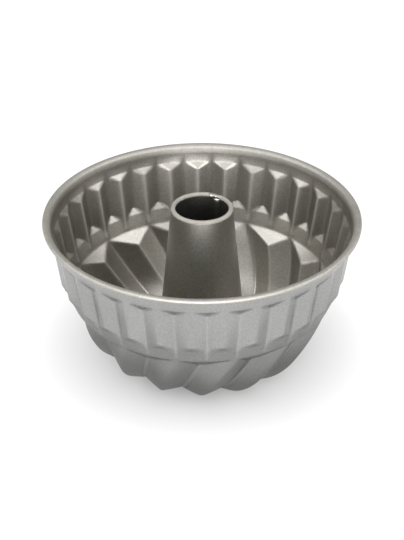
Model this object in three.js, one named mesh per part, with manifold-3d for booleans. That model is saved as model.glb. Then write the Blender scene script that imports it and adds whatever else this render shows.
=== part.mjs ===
import * as THREE from "three";
import { mergeVertices } from "three/addons/utils/BufferGeometryUtils.js";
import Module from "manifold-3d";

// Fluted tube pan: a deep-drawn steel shell with a rolled rim, and a seamed steel tube
// crimped into the hole in its floor. Millimetres, +Z up, the shell's keels rest on z = 0.
// Azimuths run clockwise seen from above, from +Y at the back of the pan.

// Sheet
const SHELL_SHEET = 0.6;
const TUBE_SHEET = 0.6;
const SEAM_GAP = 0.3;

// Rolled rim
const RIM_RADIUS = 110;
const RIM_WIDTH = 5.1;
const PAN_HEIGHT = 113.5;
const CURL_RADIUS = 1.6;
const CURL_TURN = 240;
const LIP_RADIUS = 1.8;

// Upper wall: thirty upright flutes, two to each swirling flute of the bowl
const BOWL_FLUTES = 15;
const FIRST_FLUTE = -1.9;
const WALL_TAPER = 7.3;
const PLAIN_BAND = 11.9;
const WALL_FLUTE_LENGTH = 34.9;
const WALL_FLUTE_DEPTH = 2.95;
const WALL_FACET_TOP = 3.7;
const WALL_FACET_FOOT = 3.9;
const WALL_RIDGE_WIDTH = 1.2;

// Plain step between wall and bowl
const STEP_HEIGHT = 10.2;
const STEP_INSET = 3.45;

// Bowl: fifteen flutes that swirl clockwise on their way down to the floor
const BOWL_START = 15.2;
const BOWL_BLEND = 29;
const BOWL_END = 75;
const FLOOR_RADIUS = 43.7;
const BOWL_FACET = 10.6;
const BOWL_DEPTH = 5.5;
const FLOOR_DEPTH = 5;
const BOWL_SWIRL = 18.8;
const KEEL_WIDTH = 2.4;
const GROOVE_WIDTH = 1.6;
const KEEL_FLAT = 8;

// Floor hole and its turned-down collar
const FOOT_HEIGHT = 5;
const FOOT_RING = 2.4;
const COLLAR_LENGTH = 3.1;
const COLLAR_BEND = 0.6;

// Centre tube
const TUBE_HEIGHT = 119;
const TUBE_TOP_RADIUS = 21.5;
const TUBE_TAPER = 5.67;
const TUBE_BEAD = 1.5;
const TUBE_BEAD_TURN = 250;
const HOOK_LEG = 1.6;
const SEAM_AZIMUTH = 30;
const SEAM_WIDTH = 5.2;
const SEAM_DEPTH = 1.8;
const SEAM_HEAD_RADIUS = 1.9;

const rad = THREE.MathUtils.degToRad;
const lerp = THREE.MathUtils.lerp;
const SECTOR = 360 / BOWL_FLUTES;
const COLUMNS = 6;
const SEGMENTS = 4 * BOWL_FLUTES;

const wasm = await Module();
wasm.setup();

function point(r, z) {
  return new THREE.Vector2(r, z);
}

// Points on an arc in the section plane, angles in degrees from the outward direction.
function arc(centre, radius, from, to, steps) {
  return Array.from({ length: steps + 1 }, (_, i) => {
    const angle = rad(lerp(from, to, i / steps));
    return point(centre.x + radius * Math.cos(angle), centre.y + radius * Math.sin(angle));
  });
}

// Outside radius of the tube's wall at a height.
const tubeTopCentre = TUBE_HEIGHT - TUBE_BEAD;
function tubeRadius(z) {
  return TUBE_TOP_RADIUS + Math.tan(rad(TUBE_TAPER)) * (tubeTopCentre - z);
}

// One row of the shell's sheet: where its outside face passes the keel, the flank and the
// groove of every sector. A width splits a fold into two columns; a row without a flank
// lets the flank's column join the groove's.
function row(keel, flank, groove, turn = 0, keelWidth = 0, grooveWidth = 0) {
  const halfKeel = THREE.MathUtils.radToDeg(keelWidth / 2 / keel.x);
  const halfGroove = THREE.MathUtils.radToDeg(grooveWidth / 2 / groove.x);
  const left = flank ? SECTOR / 4 : SECTOR / 2 - halfGroove;
  const right = flank ? (3 * SECTOR) / 4 : SECTOR / 2 + halfGroove;
  const side = flank ?? groove;
  return [
    [-halfKeel, keel],
    [halfKeel, keel],
    [left, side],
    [SECTOR / 2 - halfGroove, groove],
    [SECTOR / 2 + halfGroove, groove],
    [right, side],
  ].map(([angle, p]) => ({ angle: angle + turn, r: p.x, z: p.y }));
}

function ring(p, turn = 0) {
  return row(p, p, p, turn);
}

// The upper wall's outside face, a cone from the lip down to the plain step.
const wallStart = RIM_RADIUS - RIM_WIDTH + SHELL_SHEET / Math.cos(rad(WALL_TAPER));
const wallStartHeight = PAN_HEIGHT - CURL_RADIUS;
function wallPoint(z, depth = 0) {
  return point(wallStart - Math.tan(rad(WALL_TAPER)) * (wallStartHeight - z) - depth, z);
}

function rimRows() {
  const curl = point(RIM_RADIUS - CURL_RADIUS, PAN_HEIGHT - CURL_RADIUS);
  const lip = LIP_RADIUS - SHELL_SHEET;
  const lipCentre = point(
    wallStart + lip * Math.cos(rad(WALL_TAPER)),
    PAN_HEIGHT - SHELL_SHEET - lip,
  );
  const path = [
    ...arc(curl, CURL_RADIUS - SHELL_SHEET, 90 - CURL_TURN, 90, 6),
    ...arc(lipCentre, lip, 90, 180 - WALL_TAPER, 2),
  ];
  return path.map((p) => ring(p));
}

const wallFluteTop = wallStartHeight - PLAIN_BAND;
const stepTopHeight = wallFluteTop - WALL_FLUTE_LENGTH;
const stepTop = wallPoint(stepTopHeight, WALL_FLUTE_DEPTH);
const stepFoot = point(stepTop.x - STEP_INSET, stepTopHeight - STEP_HEIGHT);

function wallRows() {
  const facetTop = wallFluteTop - WALL_FACET_TOP;
  const facetFoot = stepTopHeight + WALL_FACET_FOOT;
  const fluted = [facetTop, facetFoot].map((z) => {
    const ridge = wallPoint(z, WALL_FLUTE_DEPTH);
    return row(ridge, wallPoint(z), ridge, 0, WALL_RIDGE_WIDTH, WALL_RIDGE_WIDTH);
  });
  return [ring(wallPoint(wallFluteTop)), ...fluted, ring(stepTop)];
}

// Keel line of the bowl: a long arc from the step, blending into the tighter floor arc.
const sinStart = Math.sin(rad(BOWL_START));
const sinBlend = Math.sin(rad(BOWL_BLEND));
const floorDrop = FLOOR_RADIUS * (Math.sin(rad(BOWL_END)) - sinBlend);
const bowlRadius = (stepFoot.y - floorDrop) / (sinBlend - sinStart);
const bowlCentre = point(
  stepFoot.x - bowlRadius * Math.cos(rad(BOWL_START)),
  stepFoot.y + bowlRadius * sinStart,
);
const floorCentre = point(
  bowlCentre.x + (bowlRadius - FLOOR_RADIUS) * Math.cos(rad(BOWL_BLEND)),
  bowlCentre.y - (bowlRadius - FLOOR_RADIUS) * sinBlend,
);
const blendLength = bowlRadius * rad(BOWL_BLEND - BOWL_START);
const bowlLength = blendLength + FLOOR_RADIUS * rad(BOWL_END - BOWL_BLEND);

// Station at a length along the keel line, measured from the step.
function bowlStation(length) {
  const steep = length < blendLength;
  const centre = steep ? bowlCentre : floorCentre;
  const radius = steep ? bowlRadius : FLOOR_RADIUS;
  const turned = steep
    ? rad(BOWL_START) + length / bowlRadius
    : rad(BOWL_BLEND) + (length - blendLength) / FLOOR_RADIUS;
  const outward = point(Math.cos(turned), -Math.sin(turned));
  const keel = outward.clone().multiplyScalar(radius).add(centre);
  const along = length / bowlLength;
  return { keel, outward, depth: lerp(BOWL_DEPTH, FLOOR_DEPTH, along), turn: BOWL_SWIRL * along };
}

function inward(station, depth) {
  return station.keel.clone().addScaledVector(station.outward, -depth);
}

function fluteRow(station) {
  const groove = inward(station, station.depth);
  return row(station.keel, null, groove, station.turn, KEEL_WIDTH, GROOVE_WIDTH);
}

function bowlRows() {
  const middle = bowlStation(BOWL_FACET / 2);
  const apex = bowlStation(BOWL_FACET);
  const half = inward(middle, apex.depth / 2);
  const apexFlank = inward(apex, apex.depth / 2);
  const apexGroove = inward(apex, apex.depth);
  const lengths = [
    ...[1, 2].map((i) => lerp(BOWL_FACET, blendLength, i / 2)),
    ...[1, 2, 3, 4, 5].map((i) => lerp(blendLength, bowlLength, i / 5)),
  ];
  return [
    row(stepFoot, stepFoot, stepFoot, 0, KEEL_WIDTH, 0),
    row(middle.keel, half, half, middle.turn, KEEL_WIDTH, 0),
    row(apex.keel, apexFlank, apexGroove, apex.turn, KEEL_WIDTH, GROOVE_WIDTH),
    ...lengths.map((length) => fluteRow(bowlStation(length))),
  ];
}

// Floor: flat keel ends that the pan stands on, then a rise in which the flutes fade out
// into the plain ring round the hole, one flute further round than they began.
function floorRows() {
  const standing = bowlStation(bowlLength).keel.x;
  const rising = standing - KEEL_FLAT;
  const hookClear = TUBE_SHEET + SHELL_SHEET + 2 * SEAM_GAP;
  const footRing = tubeRadius(FOOT_HEIGHT) + hookClear + FOOT_RING;
  const turnAt = (r) => lerp(BOWL_SWIRL, SECTOR, (standing - r) / (standing - footRing));
  const rise = [0, 0.33, 0.67].map((share) => {
    const z = (FOOT_HEIGHT * (1 - Math.cos(Math.PI * share))) / 2;
    return { r: lerp(rising, footRing, share), z, depth: lerp(FLOOR_DEPTH, FOOT_HEIGHT, share) - z };
  });
  const fading = rise.map(({ r, z, depth }) =>
    fluteRow({ keel: point(r, z), outward: point(0, -1), depth, turn: turnAt(r) }),
  );
  return [...fading, ring(point(footRing, FOOT_HEIGHT), SECTOR)];
}

function collarRadius(z) {
  return tubeRadius(z) + (SEAM_GAP + SHELL_SHEET) / Math.cos(rad(TUBE_TAPER));
}

const collarFoot = FOOT_HEIGHT - COLLAR_LENGTH;

function collarRows() {
  const bendFoot = FOOT_HEIGHT - COLLAR_BEND;
  const centre = point(collarRadius(bendFoot) + COLLAR_BEND, bendFoot);
  const path = [
    ...arc(centre, COLLAR_BEND, 90, 180, 2),
    point(collarRadius(collarFoot), collarFoot),
  ];
  return path.map((p) => ring(p, SECTOR));
}

// Outside face of the sheet: vertices row by row round the pan, columns that meet sharing one.
// Each strip of a fluted row folds from the outward column above to the inward one below.
function sheetFace(upper, lower) {
  const rows = [...upper, ...lower];
  const vertices = [];
  const index = rows.map((columns) => {
    const ids = [];
    for (let sector = 0; sector < BOWL_FLUTES; sector += 1) {
      columns.forEach((c, i) => {
        const last = columns[i - 1];
        const same = last && last.angle === c.angle && last.r === c.r && last.z === c.z;
        if (!same) {
          const azimuth = rad(FIRST_FLUTE + sector * SECTOR + c.angle);
          vertices.push(new THREE.Vector3(c.r * Math.sin(azimuth), c.r * Math.cos(azimuth), c.z));
        }
        ids.push(vertices.length - 1);
      });
    }
    return ids;
  });
  const faces = [];
  const add = (...ids) => {
    if (new Set(ids).size === 3) faces.push(ids);
  };
  for (let j = 0; j + 1 < rows.length; j += 1) {
    const flankOutward = j < upper.length;
    index[j].forEach((a, i) => {
      const next = (i + 1) % index[j].length;
      const [b, c, d] = [index[j][next], index[j + 1][next], index[j + 1][i]];
      const column = i % COLUMNS;
      const forward = flankOutward ? column % 3 === 2 : column < 3;
      if (forward) {
        add(a, b, c);
        add(a, c, d);
      } else {
        add(a, b, d);
        add(b, c, d);
      }
    });
  }
  return { vertices, faces, edges: [index[0], [...index.at(-1)].reverse()] };
}

// Inside face: every vertex moves in so that each plane meeting there shifts by the thickness.
function insideVertices({ vertices, faces }, thickness) {
  const sums = vertices.map(() => ({ m: new Array(9).fill(0), n: new THREE.Vector3() }));
  for (const face of faces) {
    const corners = face.map((i) => vertices[i]);
    const normal = new THREE.Triangle(...corners).getNormal(new THREE.Vector3());
    face.forEach((id, k) => {
      const u = corners[(k + 1) % 3].clone().sub(corners[k]);
      const v = corners[(k + 2) % 3].clone().sub(corners[k]);
      const weight = u.angleTo(v);
      const n = normal.toArray();
      n.forEach((a, i) => n.forEach((b, j) => (sums[id].m[3 * i + j] += weight * a * b)));
      sums[id].n.addScaledVector(normal, weight);
    });
  }
  const damping = 0.002;
  return vertices.map((p, i) => {
    const m = sums[i].m.map((value, k) => value + (k % 4 === 0 ? damping : 0));
    const shift = sums[i].n.clone().applyMatrix3(new THREE.Matrix3().set(...m).invert());
    return p.clone().addScaledVector(shift, -thickness);
  });
}

function thickSheet(face, thickness) {
  const count = face.vertices.length;
  const vertices = [...face.vertices, ...insideVertices(face, thickness)];
  const faces = [...face.faces, ...face.faces.map(([a, b, c]) => [a + count, c + count, b + count])];
  for (const edge of face.edges) {
    edge.forEach((a, i) => {
      const b = edge[(i + 1) % edge.length];
      if (a === b) return;
      faces.push([b, a, a + count], [b, a + count, b + count]);
    });
  }
  const geometry = new THREE.BufferGeometry().setFromPoints(vertices);
  geometry.setIndex(faces.flat());
  return geometry;
}

// Closed outline of a strip of sheet bent along a path in the section plane.
function ribbon(path, thickness) {
  const normals = path.map((p, i) => {
    const before = p.clone().sub(path[i - 1] ?? p).normalize();
    const after = (path[i + 1] ?? p).clone().sub(p).normalize();
    const along = before.clone().add(after).normalize();
    const straight = i === 0 || i === path.length - 1;
    const mitre = straight ? 1 : along.dot(after);
    return point(-along.y, along.x).divideScalar(mitre);
  });
  const shifted = (side) => path.map((p, i) => p.clone().addScaledVector(normals[i], side));
  const outline = [...shifted(-thickness / 2), ...shifted(thickness / 2).reverse()];
  return [...outline, outline[0].clone()];
}

function solid(geometry) {
  const bare = geometry.index ? geometry.toNonIndexed() : geometry.clone();
  bare.deleteAttribute("normal");
  bare.deleteAttribute("uv");
  const merged = mergeVertices(bare, 1e-4);
  return new wasm.Manifold(
    new wasm.Mesh({
      numProp: 3,
      vertProperties: new Float32Array(merged.attributes.position.array),
      triVerts: new Uint32Array(merged.index.array),
    }),
  );
}

function geometryOf(manifold) {
  const mesh = manifold.getMesh();
  const geometry = new THREE.BufferGeometry();
  geometry.setAttribute("position", new THREE.BufferAttribute(mesh.vertProperties.slice(), 3));
  geometry.setIndex(Array.from(mesh.triVerts));
  return geometry;
}

// Tube wall with its top edge rolled inward and its foot hooked round the shell's collar.
function tubeWall() {
  const half = TUBE_SHEET / 2;
  const wall = half / Math.cos(rad(TUBE_TAPER));
  const beadRadius = TUBE_BEAD - half;
  const bead = point(tubeRadius(tubeTopCentre) - wall - beadRadius, tubeTopCentre);
  const hookRadius = half + SEAM_GAP + SHELL_SHEET / 2;
  const hook = point(tubeRadius(collarFoot) - wall + hookRadius, collarFoot);
  const path = [
    ...arc(bead, beadRadius, TUBE_BEAD_TURN, 0, 7),
    ...arc(hook, hookRadius, 180, 360, 4),
    point(hook.x + hookRadius, collarFoot + HOOK_LEG),
  ];
  const lathe = new THREE.LatheGeometry(ribbon(path, TUBE_SHEET), SEGMENTS, rad(-FIRST_FLUTE));
  return lathe.rotateX(Math.PI / 2);
}

// Lock seam: the wall's two edges folded together on the inside, and the lump that the
// four layers make where they are rolled into the top bead.
function seam() {
  const half = SEAM_WIDTH / 2;
  const layer = SEAM_DEPTH / 3;
  const section = new THREE.Shape([
    point(-half, TUBE_SHEET / 2),
    point(half, TUBE_SHEET / 2),
    point(half, -layer),
    point(half - layer, -layer),
    point(half - layer, -SEAM_DEPTH + layer / 2),
    point(half - 1.5 * layer, -SEAM_DEPTH),
    point(-half + layer / 2, -SEAM_DEPTH),
    point(-half, -SEAM_DEPTH + layer / 2),
  ]);
  const length = (tubeTopCentre - collarFoot) / Math.cos(rad(TUBE_TAPER));
  const strip = new THREE.ExtrudeGeometry(section, { depth: length, bevelEnabled: false });
  const inside = TUBE_SHEET / Math.cos(rad(TUBE_TAPER));
  strip.rotateX(rad(TUBE_TAPER)).translate(0, tubeRadius(collarFoot) - inside, collarFoot);
  const head = new THREE.CylinderGeometry(SEAM_HEAD_RADIUS, SEAM_HEAD_RADIUS, SEAM_WIDTH, 12);
  const reach = tubeRadius(tubeTopCentre) - SEAM_HEAD_RADIUS - TUBE_SHEET / 4;
  head.rotateZ(Math.PI / 2).translate(0, reach, TUBE_HEIGHT - SEAM_HEAD_RADIUS - TUBE_SHEET / 4);
  return [strip, head].map((piece) => piece.rotateZ(rad(-SEAM_AZIMUTH)));
}

function named(name, geometry, colour) {
  const material = new THREE.MeshStandardMaterial({ color: colour, metalness: 0.9, roughness: 0.4 });
  const mesh = new THREE.Mesh(geometry, material);
  mesh.name = name;
  return mesh;
}

const upper = [...rimRows(), ...wallRows()];
const lower = [...bowlRows(), ...floorRows(), ...collarRows()];
const shell = thickSheet(sheetFace(upper, lower), SHELL_SHEET);
const tube = geometryOf(wasm.Manifold.union([tubeWall(), ...seam()].map(solid)));

const pan = new THREE.Group();
pan.name = "fluted_tube_pan";
pan.add(named("fluted_shell", shell, 0x8b8780), named("centre_tube", tube, 0x7f7b74));

export default pan;
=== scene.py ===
import math
from collections import namedtuple

import bmesh
import bpy
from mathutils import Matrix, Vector


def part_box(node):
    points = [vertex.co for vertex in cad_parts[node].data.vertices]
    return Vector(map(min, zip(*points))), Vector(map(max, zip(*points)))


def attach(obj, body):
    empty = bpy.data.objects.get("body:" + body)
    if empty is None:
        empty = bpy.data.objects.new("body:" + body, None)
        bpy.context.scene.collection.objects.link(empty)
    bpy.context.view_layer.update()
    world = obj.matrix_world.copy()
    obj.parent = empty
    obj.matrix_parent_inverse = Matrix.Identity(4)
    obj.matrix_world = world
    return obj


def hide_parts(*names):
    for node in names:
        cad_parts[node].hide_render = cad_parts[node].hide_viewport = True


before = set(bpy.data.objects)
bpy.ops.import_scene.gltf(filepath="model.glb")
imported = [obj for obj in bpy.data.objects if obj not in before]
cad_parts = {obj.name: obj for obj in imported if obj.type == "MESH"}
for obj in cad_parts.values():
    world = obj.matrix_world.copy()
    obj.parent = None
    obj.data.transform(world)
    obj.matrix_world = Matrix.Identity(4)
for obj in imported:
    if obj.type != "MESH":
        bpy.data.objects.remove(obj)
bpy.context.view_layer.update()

# Fluted tube pan: one pressed shell and one seamed tube, each a thin coated sheet.
# Sizes are in millimetres and angles in degrees until a mesh is made, unless a heading says otherwise.
# Azimuths run clockwise seen from above, from +Y at the back of the pan.
MM = 0.001
SHELL_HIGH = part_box("fluted_shell")[1]
TUBE_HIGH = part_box("centre_tube")[1]

# Sheet: its thickness, the gap left in the crimp, and how close points are that get welded
SHEET = 0.6
SEAM_GAP = 0.3
WELD = 0.002

# Rolled rim
RIM_RADIUS = SHELL_HIGH.x / MM
RIM_WIDTH = 5.1
PAN_HEIGHT = SHELL_HIGH.z / MM
CURL_RADIUS = 1.6
CURL_TURN = 240
LIP_RADIUS = 3.1

# Upper wall: thirty upright flutes, two to each swirling flute of the bowl. A flank, from fold to fold,
# has a number of steps, crowded towards its folds.
BOWL_FLUTES = 15
FIRST_FLUTE = -1.9
FLANK_STEPS = 7
FLANK_CROWDING = 0.6
WALL_TAPER = 7.3
PLAIN_BAND = 11.9
WALL_FLUTE_LENGTH = 34.9
WALL_FLUTE_DEPTH = 2.95

# Plain step between wall and bowl
STEP_HEIGHT = 10.2
STEP_INSET = 3.45

# Bowl: fifteen flutes that swirl clockwise on their way down to the floor
BOWL_START = 15.2
BOWL_BLEND = 29
BOWL_END = 75
FLOOR_RADIUS = 43.7
BOWL_FACET = 10.6
BOWL_DEPTH = 5.5
FLOOR_DEPTH = 5
BOWL_SWIRL = 18.8
KEEL_FLAT = 8

# Floor hole and its turned-down collar
FOOT_HEIGHT = 5
FOOT_RING = 2.4
COLLAR_LENGTH = 3.1
COLLAR_BEND = 0.6

# Centre tube, with as many flanks round it as the shell
TUBE_HEIGHT = TUBE_HIGH.z / MM
TUBE_TOP_RADIUS = 21.5
TUBE_TAPER = 5.67
TUBE_BEAD = 1.5
TUBE_BEAD_TURN = 250
TUBE_STEPS = 2
HOOK_LEG = 1.6
SEAM_AZIMUTH = 30
SEAM_WIDTH = 5.2
SEAM_DEPTH = 1.8
SEAM_SUNK = 0.15
SEAM_LIP = 0.3
SEAM_LEDGE = 0.84

# Folds of the flutes: flats and roundings as shares of half a flute
WALL_VALLEY_FLAT = 0.09
WALL_VALLEY_ROUND = 0.07
WALL_RIDGE_ROUND = 0.04
KEEL_FLAT_SHARE = 0.06
KEEL_ROUND = 0.06
GROOVE_ROUND = 0.04

# Roundings in millimetres where planes of the pressed sheet meet; the edge that cuts the ridges off
# softens with the square of the cut, so its softness is counted per millimetre
FACET_ROUND = 0.4
EDGE_SOFTNESS = 0.2
TOP_EDGE_ROUND = 0.12
FOOT_EDGE_ROUND = 0.1
FOOT_CUT_ROUND = 0.25
BOWL_TOP_ROUND = 1.2
KEEL_END_ROUND = 1.2

# Ends of the upright flutes: each facet from its tip on the fold to its straight edge, as heights
# above the flute top or the step top and as depths pressed in; above the top edge the flutes fade out
TOP_TIP = (-4.1, WALL_FLUTE_DEPTH)
TOP_EDGE = (0.5, 0.55)
TOP_FADE = 7
FOOT_TIP = (5.2, 0.0)
FOOT_EDGE = (0.45, 2.4)
FOOT_DEPTH = 3.75

# Lump of the lock seam in the tube's bead: its ends in degrees round the tube from the seam, the swell and
# the ripples that die away from its cut end, how far it ends below the bead's skin and above its centre,
# and what a full swell adds to its radius, its reach inward and its height
HEAD_START = -13
HEAD_END = 10
HEAD_SWELL = 0.95
HEAD_RIPPLE = 0.24
HEAD_RIPPLE_TURN = 760
HEAD_FADE = 0.6
HEAD_SUNK = 0.06
HEAD_LIFT = 0.02
HEAD_THICKER = 0.4
HEAD_INWARD = 0.9
HEAD_HIGHER = 0.2

# Wear of the coating and painted highlight, 1 on a sharp fold of a flute: how much wear and painted
# highlight lighten the rim and the bead, the depth in millimetres from which a flute's fold wears and takes
# painted highlight, how sharply that dies away, and how much it roughens
RIM_WEAR_AND_HIGHLIGHT = 0.8
BEAD_WEAR_AND_HIGHLIGHT = 1.5
WEAR_AND_HIGHLIGHT_DEPTH = 0.3
WEAR_AND_HIGHLIGHT_SHARPNESS = 9
WEAR_ROUGHNESS = 0.3

# Coating: noise scales per metre, shades as shares of its grey, the lightest one painted on as wear and
# painted highlight, and the bumps of its flakes
FLAKE_SCALE = 1000
CLOUD_SCALE = 28
RUB_SCALE = 160
CLOUDING = 0.12
DARK_SHADE = 0.8
LIGHT_SHADE = 1.2
# Painted lighter on rim, bead and folds: wear and painted highlight
RUBBED_AND_HIGHLIT_SHADE = 1.45
BUMP_STRENGTH = 0.22
BUMP_HEIGHT = 0.06

# White paper: its grey where nothing brightens it, and its white, seen straight and mirrored, by the
# distance from the pan's axis in metres; the white fades close to the pan as painted shadow over its own
# shadow, and mirrored, distances to the sides count less, so the sides are painted darker too
PAPER_HALF = 8.0
PAPER_GREY = 0.3
PAPER_SEEN_PAINTED_SHADOW = [(0.04, 0.15), (0.13, 0.7)]
PAPER_MIRRORED_PAINTED_SHADOW = [(0.079, 0.0), (0.104, 0.29), (0.13, 0.3), (0.146, 0.7)]
PAPER_SIDES_PAINTED_SHADE = 0.83

# White tent: its brightness by the sine of the angle above the floor, and how much of that holds in front
# and behind, each after how far back a direction points there
TENT_BANDS = [(0, 0.25), (0.2, 0.5), (0.42, 1.1), (0.62, 1.6), (0.86, 1.6), (0.95, 0.7), (1, 1.0)]
TENT_FRONT = (-0.3, 1.2)
TENT_BACK = (0.6, 0.5)

# Softboxes, in metres and watts
LAMP_AIM = (0, 0, 0.08)
FRONT_LAMP_PLACE = (0.0, -1.28, 0.28)
FRONT_LAMP_SIZE = (1.5, 0.6)
FRONT_LAMP_POWER = 25
SIDE_LAMP_PLACE = (1.09, -0.1, 0.78)
SIDE_LAMP_SIZE = (1.0, 1.0)
SIDE_LAMP_POWER = 4.6

# Camera of the photographed view
PHOTO_HEIGHT = 540
FOCAL_PIXELS = 1235.8
CAMERA_ELEVATION = 32.23
CAMERA_DISTANCE = 878.2
AIM_HEIGHT = 67.15


def cosd(angle):
    return math.cos(math.radians(angle))


def sind(angle):
    return math.sin(math.radians(angle))


def lerp(start, end, share):
    return start + (end - start) * share


def spread(start, end, count):
    """Evenly spaced values from start up to, but not including, end."""
    return [lerp(start, end, i / count) for i in range(count)]


def smooth_min(a, b, rounding):
    overlap = max(rounding - abs(a - b), 0) / rounding
    return min(a, b) - overlap ** 3 * rounding / 6


def smooth_max(a, b, rounding):
    return -smooth_min(-a, -b, rounding)


def arc(centre, radius, start, end, steps):
    """Points on an arc in the section plane, angles from the outward direction."""
    angles = [lerp(start, end, i / steps) for i in range(steps + 1)]
    return [(centre[0] + radius * cosd(a), centre[1] + radius * sind(a)) for a in angles]


# One row of a sheet: where its outside face passes the outer folds, how far below the level its
# outward direction leans, the depth, facet limit and cut of the flutes pressed in there, how far they
# have turned, and how much wear and painted highlight lighten the coating.
PLAIN = (0.0, -10.0, 0.0)
Row = namedtuple("Row", "radius height lean wall bowl turn worn", defaults=(0.0, PLAIN, PLAIN, 0.0, 0.0))

TUBE_TOP_CENTRE = TUBE_HEIGHT - TUBE_BEAD
WALL_START = RIM_RADIUS - RIM_WIDTH + SHEET / cosd(WALL_TAPER)
WALL_START_HEIGHT = PAN_HEIGHT - CURL_RADIUS
FLUTE_TOP = WALL_START_HEIGHT - PLAIN_BAND
STEP_TOP_HEIGHT = FLUTE_TOP - WALL_FLUTE_LENGTH
STEP_FOOT_HEIGHT = STEP_TOP_HEIGHT - STEP_HEIGHT
COLLAR_FOOT = FOOT_HEIGHT - COLLAR_LENGTH


def tube_radius(height):
    return TUBE_TOP_RADIUS + math.tan(math.radians(TUBE_TAPER)) * (TUBE_TOP_CENTRE - height)


def wall_radius(height):
    return WALL_START - math.tan(math.radians(WALL_TAPER)) * (WALL_START_HEIGHT - height)


STEP_TOP_RADIUS = wall_radius(STEP_TOP_HEIGHT) - WALL_FLUTE_DEPTH
STEP_FOOT_RADIUS = STEP_TOP_RADIUS - STEP_INSET
STEP_EDGE_HEIGHT = STEP_TOP_HEIGHT + FOOT_EDGE[0]
STEP_EDGE_RADIUS = wall_radius(STEP_EDGE_HEIGHT) - FOOT_EDGE[1]


def step_radius(height):
    """The plain step, which starts at the edge of the foot facets and lets the ridges fade out on it."""
    share = (height - STEP_FOOT_HEIGHT) / (STEP_EDGE_HEIGHT - STEP_FOOT_HEIGHT)
    return lerp(STEP_FOOT_RADIUS, STEP_EDGE_RADIUS, share)


def facet_depth(height, tip, edge):
    """Depth of a facet's plane at a height, both counted as in its tip and edge."""
    return lerp(tip[1], edge[1], (height - tip[0]) / (edge[0] - tip[0]))


def rim_rows():
    curl = (RIM_RADIUS - CURL_RADIUS, PAN_HEIGHT - CURL_RADIUS)
    lip = LIP_RADIUS - SHEET
    lip_height = PAN_HEIGHT - LIP_RADIUS
    lip_foot = wall_radius(lip_height + lip * sind(WALL_TAPER))
    path = arc(curl, CURL_RADIUS - SHEET, 90 - CURL_TURN, 90, 11)
    path += arc((lip_foot + lip * cosd(WALL_TAPER), lip_height), lip, 90, 180 - WALL_TAPER, 8)
    # The rim's coat is painted lighter: wear and painted highlight
    return [Row(radius, height, worn=RIM_WEAR_AND_HIGHLIGHT) for radius, height in path]


def wall_row(height):
    """A row of the upper wall, whose foot facets and plain step cut the upright flutes off."""
    wall = wall_radius(height)
    foot_facet = facet_depth(height - STEP_TOP_HEIGHT, FOOT_TIP, FOOT_EDGE)
    foot = smooth_min(foot_facet, wall - step_radius(height), FOOT_EDGE_ROUND)
    cut = smooth_max(foot, 0, FOOT_CUT_ROUND)
    rise = height - FLUTE_TOP
    fade = TOP_EDGE[1] * (max(TOP_FADE - rise, 0) / (TOP_FADE - TOP_EDGE[0])) ** 2
    limit = smooth_max(facet_depth(rise, TOP_TIP, TOP_EDGE), fade, TOP_EDGE_ROUND)
    depth = lerp(WALL_FLUTE_DEPTH, FOOT_DEPTH, max(-rise, 0) / WALL_FLUTE_LENGTH)
    return Row(wall - cut, height, wall=(depth, limit, cut))


def wall_rows():
    """Rows of the upper wall, closest together at the two ends of its flutes."""
    top_facet = FLUTE_TOP + TOP_TIP[0]
    foot_facet = STEP_TOP_HEIGHT + FOOT_TIP[0]
    heights = spread(FLUTE_TOP + TOP_FADE, FLUTE_TOP + 1, 6)
    heights += spread(FLUTE_TOP + 1, top_facet - 0.8, 13)
    heights += spread(top_facet - 0.8, foot_facet + 0.8, 4)
    heights += spread(foot_facet + 0.8, STEP_TOP_HEIGHT - 0.5, 15)
    heights += spread(STEP_TOP_HEIGHT - 0.5, STEP_FOOT_HEIGHT + 1.6, 5)
    return [wall_row(height) for height in heights]


# Keel line of the bowl: a long arc from the step, blending into the tighter floor arc
FLOOR_DROP = FLOOR_RADIUS * (sind(BOWL_END) - sind(BOWL_BLEND))
BOWL_RADIUS = (STEP_FOOT_HEIGHT - FLOOR_DROP) / (sind(BOWL_BLEND) - sind(BOWL_START))
BOWL_CENTRE = (STEP_FOOT_RADIUS - BOWL_RADIUS * cosd(BOWL_START),
               STEP_FOOT_HEIGHT + BOWL_RADIUS * sind(BOWL_START))
FLOOR_CENTRE = (BOWL_CENTRE[0] + (BOWL_RADIUS - FLOOR_RADIUS) * cosd(BOWL_BLEND),
                BOWL_CENTRE[1] - (BOWL_RADIUS - FLOOR_RADIUS) * sind(BOWL_BLEND))
BLEND_LENGTH = BOWL_RADIUS * math.radians(BOWL_BLEND - BOWL_START)
BOWL_LENGTH = BLEND_LENGTH + FLOOR_RADIUS * math.radians(BOWL_END - BOWL_BLEND)
STANDING_RADIUS = FLOOR_CENTRE[0] + FLOOR_RADIUS * cosd(BOWL_END)
RISING_RADIUS = STANDING_RADIUS - KEEL_FLAT
RING_RADIUS = tube_radius(FOOT_HEIGHT) + 2 * SHEET + 2 * SEAM_GAP + FOOT_RING
RISING_LEAN = math.degrees(math.acos((RISING_RADIUS - FLOOR_CENTRE[0]) / FLOOR_RADIUS))
KEEL_LENGTH = BOWL_LENGTH + FLOOR_RADIUS * math.radians(RISING_LEAN - BOWL_END)


def floor_turn(radius):
    share = (STANDING_RADIUS - radius) / (STANDING_RADIUS - RING_RADIUS)
    return lerp(BOWL_SWIRL, 360 / BOWL_FLUTES, share)


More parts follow.
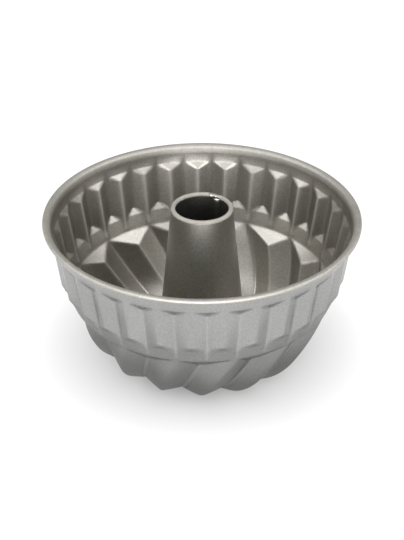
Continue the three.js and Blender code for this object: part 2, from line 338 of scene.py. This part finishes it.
def bowl_row(length):
    """A row of the bowl at a length along the keel line, measured from the foot of the step."""
    if length < 0:
        height = STEP_FOOT_HEIGHT - length * cosd(BOWL_START)
        point, lean = (step_radius(height), height), BOWL_START
    elif length < BLEND_LENGTH:
        lean = BOWL_START + math.degrees(length / BOWL_RADIUS)
        point = arc(BOWL_CENTRE, BOWL_RADIUS, -lean, -lean, 1)[0]
    else:
        lean = BOWL_BLEND + math.degrees((length - BLEND_LENGTH) / FLOOR_RADIUS)
        point = arc(FLOOR_CENTRE, FLOOR_RADIUS, -lean, -lean, 1)[0]
    share = min(max(length / BOWL_LENGTH, 0), 1)
    depth = lerp(BOWL_DEPTH, FLOOR_DEPTH, share)
    turn = BOWL_SWIRL * share if share < 1 else floor_turn(point[0])
    limit = smooth_max(length, 0, BOWL_TOP_ROUND) * BOWL_DEPTH / BOWL_FACET
    height = smooth_max(point[1], 0, KEEL_END_ROUND)
    return Row(point[0], height, lean, bowl=(depth, limit, 0), turn=turn)


def bowl_rows():
    """Rows of the bowl, closest together where its flutes begin."""
    lengths = spread(-1.6, BOWL_FACET + 1.6, 15)
    lengths += spread(BOWL_FACET + 1.6, BOWL_LENGTH - 3, 17)
    lengths += spread(BOWL_LENGTH - 3, KEEL_LENGTH, 6)
    return [bowl_row(length) for length in lengths]


def floor_rows():
    """The rise from the flat keel ends to the plain ring round the hole, in which the flutes fade."""
    rows = []
    for share in spread(0, 1, 6):
        height = FOOT_HEIGHT * (1 - cosd(180 * share)) / 2
        radius = lerp(RISING_RADIUS, RING_RADIUS, share)
        flute = (FLOOR_DEPTH - height, KEEL_LENGTH, 0)
        rows.append(Row(radius, height, 90, bowl=flute, turn=floor_turn(radius)))
    return rows + [Row(RING_RADIUS, FOOT_HEIGHT, 90, turn=360 / BOWL_FLUTES)]


def collar_radius(height):
    return tube_radius(height) + (SEAM_GAP + SHEET) / cosd(TUBE_TAPER)


def collar_rows():
    bend_foot = FOOT_HEIGHT - COLLAR_BEND
    centre = (collar_radius(bend_foot) + COLLAR_BEND, bend_foot)
    path = arc(centre, COLLAR_BEND, 90, 180, 4) + [(collar_radius(COLLAR_FOOT), COLLAR_FOOT)]
    return [Row(radius, height, turn=360 / BOWL_FLUTES) for radius, height in path]


def tube_rows():
    """Outside face of the tube: bead rolled inward, tapered wall, hook round the shell's collar."""
    half = SHEET / 2
    wall = half / cosd(TUBE_TAPER)
    bead = (tube_radius(TUBE_TOP_CENTRE) - wall - TUBE_BEAD + half, TUBE_TOP_CENTRE)
    hook_radius = SHEET + SEAM_GAP
    hook = (tube_radius(COLLAR_FOOT) - wall + hook_radius, COLLAR_FOOT)
    top = arc(bead, TUBE_BEAD, TUBE_BEAD_TURN, 0, 16)
    # The wall's first row is close below the bead, so that the bead's wear and painted highlight end there
    path = [(tube_radius(height), height) for height in spread(TUBE_TOP_CENTRE - 1, COLLAR_FOOT, 9)]
    path += arc(hook, hook_radius - half, 180, 360, 8)
    path.append((hook[0] + hook_radius - half, COLLAR_FOOT + HOOK_LEG))
    # The bead's coat is painted lighter: wear and painted highlight
    bead_rows = [Row(radius, height, worn=BEAD_WEAR_AND_HIGHLIGHT) for radius, height in top]
    return bead_rows + [Row(radius, height) for radius, height in path]


def add_node(tree, kind, inputs=(), **settings):
    """A node with its settings, and its inputs fed with values or with other nodes' sockets."""
    node = tree.nodes.new(kind)
    for name, value in settings.items():
        setattr(node, name, value)
    for key, value in dict(inputs).items():
        if isinstance(value, bpy.types.NodeSocket):
            tree.links.new(value, node.inputs[key])
        else:
            node.inputs[key].default_value = value
    return node


def calc(tree, operation, *values):
    """The result of a Math node."""
    return add_node(tree, "ShaderNodeMath", enumerate(values), operation=operation).outputs[0]


def graded(tree, value, stops):
    """A level that runs straight from each stop's place to the next one's."""
    ramp = add_node(tree, "ShaderNodeValToRGB", {"Fac": value})
    marks = ramp.color_ramp.elements
    marks[0].position = stops[0][0]
    marks[1].position = stops[-1][0]
    for place, level in stops[1:-1]:
        marks.new(place)
    for mark, (place, level) in zip(marks, stops):
        mark.color = (level, level, level, 1)
    return ramp.outputs["Color"]


def new_tree(name, inputs, output):
    """A Geometry Nodes tree with its named sockets, and the node that brings its inputs in."""
    tree = bpy.data.node_groups.new(name, "GeometryNodeTree")
    for label, kind in inputs:
        tree.interface.new_socket(label, in_out="INPUT", socket_type="NodeSocket" + kind)
    tree.interface.new_socket(output[0], in_out="OUTPUT", socket_type="NodeSocket" + output[1])
    return tree, add_node(tree, "NodeGroupInput").outputs


def soft_length(tree, value, rounding):
    """A distance from a fold, with the fold's point rounded off."""
    squared = calc(tree, "MULTIPLY", rounding, rounding)
    root = calc(tree, "SQRT", calc(tree, "MULTIPLY_ADD", value, value, squared))
    return calc(tree, "SUBTRACT", root, rounding)


def pressed_flute_tree():
    """How far a flute presses the sheet in, from 0 on its outer fold to its depth on its inner."""
    inputs = [("Across", "Float"), ("Flute", "Vector"), ("Outer flat", "Float"),
              ("Outer rounding", "Float"), ("Inner rounding", "Float"),
              ("Facet rounding", "Float"), ("Edge softness", "Float")]
    tree, given = new_tree("pressed_flute", inputs, ("Depth", "Float"))
    inner, outer = given["Inner rounding"], given["Outer rounding"]
    flute = add_node(tree, "ShaderNodeSeparateXYZ", {0: given["Flute"]}).outputs
    whole = soft_length(tree, 1.0, inner)
    to_inner = soft_length(tree, calc(tree, "SUBTRACT", 1.0, given["Across"]), inner)
    slope = calc(tree, "SUBTRACT", whole, to_inner)
    from_flat = calc(tree, "SUBTRACT", slope, given["Outer flat"])
    folded = calc(tree, "SMOOTH_MAX", from_flat, 0.0, outer)
    fold = calc(tree, "DIVIDE", folded, calc(tree, "SUBTRACT", whole, given["Outer flat"]))
    pressed = calc(tree, "SMOOTH_MIN", calc(tree, "MULTIPLY", flute["X"], fold), flute["Y"],
                   given["Facet rounding"])
    left = calc(tree, "SUBTRACT", pressed, flute["Z"])
    edge = calc(tree, "MULTIPLY", calc(tree, "MULTIPLY", flute["Z"], flute["Z"]), given["Edge softness"])
    depth = calc(tree, "SMOOTH_MAX", left, 0.0, edge)
    add_node(tree, "NodeGroupOutput", {"Depth": depth})
    return tree


def pressed_sheet_tree(pressed_flute):
    """Turns a section's rows into a round sheet, pressing upright and swirling flutes into it."""
    inputs = [("Rows", "Geometry"), ("Flutes", "Int"), ("Steps per flank", "Int"),
              ("First flute", "Float"), ("Crowding", "Float"), ("Valley flat", "Float"),
              ("Valley rounding", "Float"), ("Ridge rounding", "Float"), ("Keel flat", "Float"),
              ("Keel rounding", "Float"), ("Groove rounding", "Float"),
              ("Facet rounding", "Float"), ("Edge softness", "Float"), ("Coating", "Material")]
    tree, given = new_tree("pressed_sheet", inputs, ("Sheet", "Geometry"))
    size = add_node(tree, "GeometryNodeAttributeDomainSize", {"Geometry": given["Rows"]}, component="MESH")
    rows = size.outputs["Point Count"]
    flanks = calc(tree, "MULTIPLY", given["Flutes"], 4)
    columns = calc(tree, "MULTIPLY_ADD", flanks, given["Steps per flank"], 1.0)
    grid = add_node(tree, "GeometryNodeMeshGrid", {"Vertices X": columns, "Vertices Y": rows})

    index = add_node(tree, "GeometryNodeInputIndex").outputs[0]
    column = calc(tree, "FLOOR", calc(tree, "DIVIDE", calc(tree, "ADD", index, 0.5), rows))
    row = calc(tree, "SUBTRACT", index, calc(tree, "MULTIPLY", column, rows))

    def of_row(value, kind):
        inputs = {"Geometry": given["Rows"], "Value": value, "Index": row}
        sample = add_node(tree, "GeometryNodeSampleIndex", inputs, data_type=kind, domain="POINT")
        return sample.outputs["Value"]

    def noted(name, kind):
        note = add_node(tree, "GeometryNodeInputNamedAttribute", {"Name": name}, data_type=kind)
        return of_row(note.outputs["Attribute"], kind)

    # Place round the pan, counted in flanks and crowded towards the folds
    flank = calc(tree, "DIVIDE", column, given["Steps per flank"])
    wave = calc(tree, "SINE", calc(tree, "MULTIPLY", flank, 2 * math.pi))
    drift = calc(tree, "MULTIPLY", wave, calc(tree, "DIVIDE", given["Crowding"], 2 * math.pi))
    place = calc(tree, "SUBTRACT", flank, drift)
    from_ridge = calc(tree, "PINGPONG", place, 1.0)
    across_wall = calc(tree, "SUBTRACT", 1.0, from_ridge)
    across_bowl = calc(tree, "DIVIDE", calc(tree, "PINGPONG", place, 2.0), 2.0)

    def pressed(across, flute, outer, inner):
        inputs = {
            "Across": across,
            "Flute": noted(flute, "FLOAT_VECTOR"),
            "Outer flat": given[outer + " flat"],
            "Outer rounding": given[outer + " rounding"],
            "Inner rounding": given[inner + " rounding"],
            "Facet rounding": given["Facet rounding"],
            "Edge softness": given["Edge softness"],
        }
        return add_node(tree, "GeometryNodeGroup", inputs, node_tree=pressed_flute).outputs["Depth"]

    wall_depth = pressed(across_wall, "wall_flute", "Valley", "Ridge")
    bowl_depth = pressed(across_bowl, "bowl_flute", "Keel", "Groove")
    depth = calc(tree, "ADD", wall_depth, bowl_depth)

    # From the section plane to the round
    inward = calc(tree, "MULTIPLY", depth, -1.0)
    shift = add_node(tree, "ShaderNodeVectorMath", {0: noted("outward", "FLOAT_VECTOR"), "Scale": inward},
                     operation="SCALE").outputs[0]
    position = add_node(tree, "GeometryNodeInputPosition").outputs[0]
    section = add_node(tree, "ShaderNodeVectorMath", {0: of_row(position, "FLOAT_VECTOR"), 1: shift},
                       operation="ADD").outputs[0]
    point = add_node(tree, "ShaderNodeSeparateXYZ", {0: section}).outputs
    flank_angle = calc(tree, "DIVIDE", 2 * math.pi, flanks)
    turned = calc(tree, "ADD", noted("turn", "FLOAT"), given["First flute"])
    azimuth = calc(tree, "MULTIPLY_ADD", place, flank_angle, turned)
    x = calc(tree, "MULTIPLY", point["X"], calc(tree, "SINE", azimuth))
    y = calc(tree, "MULTIPLY", point["X"], calc(tree, "COSINE", azimuth))
    place_round = add_node(tree, "ShaderNodeCombineXYZ", {"X": x, "Y": y, "Z": point["Z"]}).outputs[0]

    # How much wear and painted highlight lighten the coating at each point: near a flute's fold, but not on
    # its end facets, and where noted
    fluted = calc(tree, "GREATER_THAN", depth, WEAR_AND_HIGHLIGHT_DEPTH * MM)
    folded = calc(tree, "MULTIPLY", fluted, noted("folded", "FLOAT"))
    near_fold = calc(tree, "MULTIPLY", calc(tree, "POWER", across_wall, WEAR_AND_HIGHLIGHT_SHARPNESS), folded)
    worn = calc(tree, "MAXIMUM", near_fold, noted("worn", "FLOAT"))
    # The fold attribute paints the coat lighter near folds: wear and painted highlight
    marked = add_node(tree, "GeometryNodeStoreNamedAttribute",
                      {"Geometry": grid.outputs["Mesh"], "Name": "fold", "Value": worn},
                      data_type="FLOAT", domain="POINT").outputs[0]
    placed = add_node(tree, "GeometryNodeSetPosition", {"Geometry": marked, "Position": place_round})
    closed = add_node(tree, "GeometryNodeMergeByDistance",
                      {"Geometry": placed.outputs[0], "Distance": WELD * MM})
    smooth = add_node(tree, "GeometryNodeSetShadeSmooth", {"Geometry": closed.outputs[0]})
    real = add_node(tree, "GeometryNodeRealizeInstances", {"Geometry": smooth.outputs[0]})
    coated = add_node(tree, "GeometryNodeSetMaterial",
                      {"Geometry": real.outputs[0], "Material": given["Coating"]})
    add_node(tree, "NodeGroupOutput", {"Sheet": coated.outputs[0]})
    return tree


def rows_mesh(name, rows):
    """A section's rows as loose points that carry what the tree asks of them."""
    mesh = bpy.data.meshes.new(name)
    mesh.from_pydata([(row.radius * MM, 0, row.height * MM) for row in rows], [], [])
    vectors = {
        "outward": [(cosd(row.lean), 0, -sind(row.lean)) for row in rows],
        "wall_flute": [[size * MM for size in row.wall] for row in rows],
        "bowl_flute": [[size * MM for size in row.bowl] for row in rows],
    }
    for label, values in vectors.items():
        attribute = mesh.attributes.new(label, "FLOAT_VECTOR", "POINT")
        attribute.data.foreach_set("vector", [part for value in values for part in value])
    # One of these paints the coat lighter on rim, bead and folds: wear and painted highlight
    numbers = {
        "turn": [math.radians(row.turn) for row in rows],
        "worn": [row.worn for row in rows],
        "folded": [float(row.wall[1] > row.wall[0] or row.bowl[1] > row.bowl[0]) for row in rows],
    }
    for label, values in numbers.items():
        mesh.attributes.new(label, "FLOAT", "POINT").data.foreach_set("value", values)
    return mesh


def sheet_piece(name, rows, tree, steps, crowding, outside, inside):
    """A round sheet of constant thickness, made from its rows by the tree and coated on each side."""
    draft = bpy.data.objects.new(name + "_draft", rows_mesh(name + "_rows", rows))
    bpy.context.scene.collection.objects.link(draft)
    sizes = {
        "Flutes": BOWL_FLUTES,
        "Steps per flank": steps,
        "First flute": math.radians(FIRST_FLUTE),
        "Crowding": crowding,
        "Valley flat": WALL_VALLEY_FLAT,
        "Valley rounding": WALL_VALLEY_ROUND,
        "Ridge rounding": WALL_RIDGE_ROUND,
        "Keel flat": KEEL_FLAT_SHARE,
        "Keel rounding": KEEL_ROUND,
        "Groove rounding": GROOVE_ROUND,
        "Facet rounding": FACET_ROUND * MM,
        "Edge softness": EDGE_SOFTNESS / MM,
        "Coating": outside,
    }
    modifier = draft.modifiers.new("pressing", "NODES")
    modifier.node_group = tree
    for item in tree.interface.items_tree:
        if item.in_out == "INPUT" and item.name in sizes:
            modifier[item.identifier] = sizes[item.name]
    evaluated = draft.evaluated_get(bpy.context.evaluated_depsgraph_get())
    piece = bpy.data.objects.new(name, bpy.data.meshes.new_from_object(evaluated))
    piece.data.name = name
    piece.data.materials.append(inside)
    bpy.data.objects.remove(draft)
    bpy.context.scene.collection.objects.link(piece)
    wall = piece.modifiers.new("sheet", "SOLIDIFY")
    wall.thickness = SHEET * MM
    wall.offset = -1
    wall.use_even_offset = True
    wall.material_offset = 1
    wall.material_offset_rim = 1
    return piece


def finish_mesh(name, build, coating):
    """An object whose mesh a function builds with bmesh."""
    mesh = bpy.data.meshes.new(name)
    form = bmesh.new()
    build(form)
    bmesh.ops.recalc_face_normals(form, faces=form.faces)
    form.to_mesh(mesh)
    form.free()
    mesh.shade_smooth()
    mesh.materials.append(coating)
    piece = bpy.data.objects.new(name, mesh)
    bpy.context.scene.collection.objects.link(piece)
    return piece


def loft(form, sections):
    """Skins closed sections of equal length one after another, and closes both ends."""
    rings = [[form.verts.new(Vector(point) * MM) for point in section] for section in sections]
    for first, second in zip(rings, rings[1:]):
        for i in range(len(first)):
            k = (i + 1) % len(first)
            form.faces.new((first[i], first[k], second[k], second[i]))
    form.faces.new(rings[0])
    form.faces.new(rings[-1])


def round_point(radius, azimuth, height):
    return (radius * sind(azimuth), radius * cosd(azimuth), height)


def lock_seam(form):
    """The folded edges of the tube's wall, a flat band with a rounded edge down its inside."""
    half = SEAM_WIDTH / 2
    edge = SEAM_DEPTH / 2
    section = [(half, SEAM_SUNK), (half, -SHEET)]
    section += arc((half - SHEET, -SHEET - SEAM_LIP), SEAM_LIP, 0, -90, 3)
    section += [(half - SEAM_LEDGE, -SEAM_DEPTH)]
    section += arc((-half + edge, -SEAM_DEPTH + edge), edge, -90, -180, 6)
    section += [(-half, SEAM_SUNK)]
    sections = []
    for height in spread(COLLAR_FOOT, TUBE_TOP_CENTRE, 24) + [TUBE_TOP_CENTRE]:
        inside = tube_radius(height) - SHEET
        ring = []
        for across, inward in section:
            radius = inside + inward
            ring.append(round_point(radius, SEAM_AZIMUTH + math.degrees(across / inside), height))
        sections.append(ring)
    loft(form, sections)


def seam_head(form):
    """The lump that the seam's layers make where they are rolled into the bead, with a cut end."""
    steps, sides = 30, 18
    bead_radius = TUBE_TOP_RADIUS - TUBE_BEAD
    sections = []
    for i in range(steps + 1):
        share = i / steps
        ripple = HEAD_RIPPLE * sind(HEAD_RIPPLE_TURN * share) * (1 - share)
        swell = HEAD_SWELL * (1 - share) ** HEAD_FADE + ripple
        radius = TUBE_BEAD - HEAD_SUNK + HEAD_THICKER * swell
        centre = bead_radius - HEAD_INWARD * swell
        height = TUBE_TOP_CENTRE + HEAD_LIFT + HEAD_HIGHER * swell
        azimuth = SEAM_AZIMUTH + lerp(HEAD_START, HEAD_END, share)
        ring = []
        for k in range(sides):
            angle = 360 * k / sides
            ring.append(round_point(centre + radius * cosd(angle), azimuth, height + radius * sind(angle)))
        sections.append(ring)
    loft(form, sections)


def new_material(name):
    material = bpy.data.materials.new(name)
    material.use_nodes = True
    tree = material.node_tree
    tree.nodes.clear()
    return material, tree


def shaded(grey, share):
    return (*[share * part for part in grey], 1)


def coating_material(name, grey, grain, rub_and_highlight, satin):
    """Satin metallic grey non-stick coating: fine sprayed flakes, soft clouding, and folds and edges
    painted lighter as wear and painted highlight.

    The grain is how far the flakes' shades spread, the fourth argument is how far wear and painted
    highlight lighten the coat, and the satin is the range of the coating's roughness.
    """
    material, tree = new_material(name)
    place = add_node(tree, "ShaderNodeTexCoord").outputs["Object"]

    def noise(scale, detail, roughness=0.5):
        inputs = {"Vector": place, "Scale": scale, "Detail": detail, "Roughness": roughness}
        return add_node(tree, "ShaderNodeTexNoise", inputs).outputs["Fac"]

    def tuned(value, low, high, to_low, to_high):
        inputs = {"Value": value, "From Min": low, "From Max": high, "To Min": to_low, "To Max": to_high}
        return add_node(tree, "ShaderNodeMapRange", inputs).outputs["Result"]

    flakes = noise(FLAKE_SCALE, 2, 0.6)
    clouds = noise(CLOUD_SCALE, 3)
    worn = add_node(tree, "ShaderNodeAttribute", attribute_name="fold").outputs["Fac"]
    # Rim, bead and folds are painted lighter: wear and painted highlight
    rubbed_and_highlit = calc(tree, "MULTIPLY", worn, tuned(noise(RUB_SCALE, 2), 0.35, 0.65, 0.55, 1.0))
    speckle = tuned(flakes, 0.32, 0.68, 0.5 - grain, 0.5 + grain)
    tone = calc(tree, "ADD", speckle, tuned(clouds, 0.3, 0.7, -CLOUDING, CLOUDING))
    shades = add_node(tree, "ShaderNodeValToRGB", {"Fac": tone})
    shades.color_ramp.elements[0].color = shaded(grey, DARK_SHADE)
    shades.color_ramp.elements[1].color = shaded(grey, LIGHT_SHADE)
    bare_and_highlit = add_node(tree, "ShaderNodeMix",
                    {"Factor": calc(tree, "MULTIPLY", rubbed_and_highlit, rub_and_highlight), "A": shades.outputs["Color"],
                     "B": shaded(grey, RUBBED_AND_HIGHLIT_SHADE)}, data_type="RGBA")
    rough = calc(tree, "MULTIPLY_ADD", worn, WEAR_ROUGHNESS, tuned(clouds, 0.3, 0.7, *satin))
    bumps = add_node(tree, "ShaderNodeBump",
                     {"Height": flakes, "Strength": BUMP_STRENGTH, "Distance": BUMP_HEIGHT * MM})
    shader = add_node(tree, "ShaderNodeBsdfPrincipled",
                      {"Base Color": bare_and_highlit.outputs["Result"], "Metallic": 1.0, "Roughness": rough,
                       "Normal": bumps.outputs["Normal"]})
    add_node(tree, "ShaderNodeOutputMaterial", {"Surface": shader.outputs[0]})
    return material


def paper_material():
    """White paper under the pan, which keeps the pan's own shadow, its white faded close to the pan and,
    mirrored, at the sides as painted shadow.
    """
    material, tree = new_material("white_paper")
    ray = add_node(tree, "ShaderNodeLightPath").outputs
    place = add_node(tree, "ShaderNodeTexCoord").outputs["Object"]
    drawn_in = add_node(tree, "ShaderNodeVectorMath", {0: place, 1: (PAPER_SIDES_PAINTED_SHADE, 1, 1)},
                        operation="MULTIPLY").outputs[0]

    def length(vector):
        return add_node(tree, "ShaderNodeVectorMath", {0: vector}, operation="LENGTH").outputs["Value"]

    # The white fades near the pan, mirrored also at the sides: painted shadow
    seen_white_painted_shadow = graded(tree, length(place), PAPER_SEEN_PAINTED_SHADOW)
    mirrored_white_painted_shadow = graded(tree, length(drawn_in), PAPER_MIRRORED_PAINTED_SHADOW)
    straight = calc(tree, "MULTIPLY", ray["Is Camera Ray"], seen_white_painted_shadow)
    mirrored = calc(tree, "MULTIPLY", ray["Is Glossy Ray"], mirrored_white_painted_shadow)
    seen = calc(tree, "ADD", straight, mirrored)
    paper = add_node(tree, "ShaderNodeBsdfDiffuse", {"Color": (PAPER_GREY, PAPER_GREY, PAPER_GREY, 1)})
    glow = add_node(tree, "ShaderNodeEmission", {"Strength": seen})
    both = add_node(tree, "ShaderNodeAddShader", {0: paper.outputs[0], 1: glow.outputs[0]})
    add_node(tree, "ShaderNodeOutputMaterial", {"Surface": both.outputs[0]})
    return material


def floor():
    mesh = bpy.data.meshes.new("paper_floor")
    corners = [(-PAPER_HALF, -PAPER_HALF, 0), (PAPER_HALF, -PAPER_HALF, 0),
               (PAPER_HALF, PAPER_HALF, 0), (-PAPER_HALF, PAPER_HALF, 0)]
    mesh.from_pydata(corners, [], [(0, 1, 2, 3)])
    mesh.materials.append(paper_material())
    paper = bpy.data.objects.new("paper_floor", mesh)
    bpy.context.scene.collection.objects.link(paper)


def softbox(name, place, size, watts):
    lamp = bpy.data.lights.new(name, "AREA")
    lamp.shape = "RECTANGLE"
    lamp.size, lamp.size_y = size
    lamp.energy = watts
    holder = bpy.data.objects.new(name, lamp)
    holder.location = place
    holder.rotation_euler = (Vector(LAMP_AIM) - Vector(place)).to_track_quat("-Z", "Y").to_euler()
    bpy.context.scene.collection.objects.link(holder)


def studio():
    """White tent that is brighter in front, a low wide softbox in front and one at each side."""
    world = bpy.data.worlds.new("white_tent")
    bpy.context.scene.world = world
    world.use_nodes = True
    tree = world.node_tree
    tree.nodes.clear()
    ray = add_node(tree, "ShaderNodeLightPath").outputs
    outward = add_node(tree, "ShaderNodeTexCoord").outputs["Generated"]
    way = add_node(tree, "ShaderNodeSeparateXYZ", {0: outward}).outputs
    bands = graded(tree, way["Z"], TENT_BANDS)
    inputs = {"Value": way["Y"], "From Min": TENT_FRONT[0], "From Max": TENT_BACK[0],
              "To Min": TENT_FRONT[1], "To Max": TENT_BACK[1]}
    dimming = add_node(tree, "ShaderNodeMapRange", inputs).outputs["Result"]
    light = calc(tree, "MULTIPLY", bands, dimming)
    strength = calc(tree, "MAXIMUM", light, ray["Is Camera Ray"])
    tent = add_node(tree, "ShaderNodeBackground", {"Color": (1, 1, 1, 1), "Strength": strength})
    add_node(tree, "ShaderNodeOutputWorld", {"Surface": tent.outputs[0]})
    softbox("front_softbox", FRONT_LAMP_PLACE, FRONT_LAMP_SIZE, FRONT_LAMP_POWER)
    for name, side in (("left_softbox", -1), ("right_softbox", 1)):
        place = (side * SIDE_LAMP_PLACE[0], *SIDE_LAMP_PLACE[1:])
        softbox(name, place, SIDE_LAMP_SIZE, SIDE_LAMP_POWER)


def photo_camera():
    lens = bpy.data.cameras.new("photo_camera")
    lens.sensor_fit = "VERTICAL"
    lens.sensor_height = 36
    lens.lens = FOCAL_PIXELS * lens.sensor_height / PHOTO_HEIGHT
    camera = bpy.data.objects.new("photo_camera", lens)
    back = Vector((0, -cosd(CAMERA_ELEVATION), sind(CAMERA_ELEVATION)))
    camera.location = (Vector((0, 0, AIM_HEIGHT)) + CAMERA_DISTANCE * back) * MM
    camera.rotation_euler = (math.radians(90 - CAMERA_ELEVATION), 0, 0)
    bpy.context.scene.collection.objects.link(camera)
    bpy.context.scene.camera = camera


def dress():
    outside_coating = coating_material(
        "outside_coating", grey=(0.35, 0.353, 0.344), grain=0.24, rub_and_highlight=0.0, satin=(0.2, 0.25))
    # The inside and the tube are painted lighter on rim, bead and folds: wear and painted highlight
    inside_coating = coating_material(
        "inside_coating", grey=(0.355, 0.343, 0.315), grain=0.42, rub_and_highlight=0.5, satin=(0.33, 0.38))
    tube_coating = coating_material(
        "tube_coating", grey=(0.345, 0.334, 0.306), grain=0.42, rub_and_highlight=0.5, satin=(0.36, 0.41))
    tree = pressed_sheet_tree(pressed_flute_tree())
    shell_rows = rim_rows() + wall_rows() + bowl_rows() + floor_rows() + collar_rows()
    shell = sheet_piece("pan_shell", shell_rows, tree, FLANK_STEPS, FLANK_CROWDING,
                        outside_coating, inside_coating)
    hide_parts("fluted_shell")
    tube = sheet_piece("pan_tube", tube_rows(), tree, TUBE_STEPS, 0.0, tube_coating, tube_coating)
    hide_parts("centre_tube")
    seam = finish_mesh("tube_lock_seam", lock_seam, tube_coating)
    head = finish_mesh("tube_seam_head", seam_head, tube_coating)
    for piece in (shell, tube, seam, head):
        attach(piece, "root")


dress()
floor()
studio()
photo_camera()
bpy.context.scene.view_settings.view_transform = "Standard"
